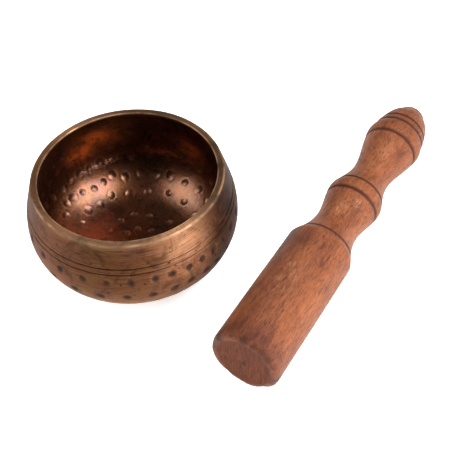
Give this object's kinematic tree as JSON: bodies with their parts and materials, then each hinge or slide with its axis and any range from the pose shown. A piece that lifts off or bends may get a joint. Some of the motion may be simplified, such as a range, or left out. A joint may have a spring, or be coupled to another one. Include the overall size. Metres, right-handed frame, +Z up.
{
  "type": "singing bowl",
  "caption": "Round-bellied metal singing bowl with engraved lines and punched dents, with a turned wooden mallet lying beside it.",
  "frame": {"origin": "centre of the bowl's flat foot, on the surface it stands on", "axes": "+Z up along the bowl's axis; the mallet lies parallel to +Y on the bowl's +X side, its rounded tip towards +Y"},
  "size_m": [0.1529, 0.1879, 0.05],
  "materials": {
    "bowl_metal": "aged copper-brown bronze, brushed by hand, worn bright along the lip",
    "mallet_wood": "turned reddish-brown hardwood with a thin satin oil finish"
  },
  "bodies": {
    "bowl": {"bowl": "bowl_metal"},
    "mallet": {"mallet": "mallet_wood"}
  },
  "joints": [
    {"name": "mallet_lift", "type": "slide", "parent": "bowl", "child": "mallet", "axis": [0, 0, 1], "range_m": [0, 0.15]}
  ]
}
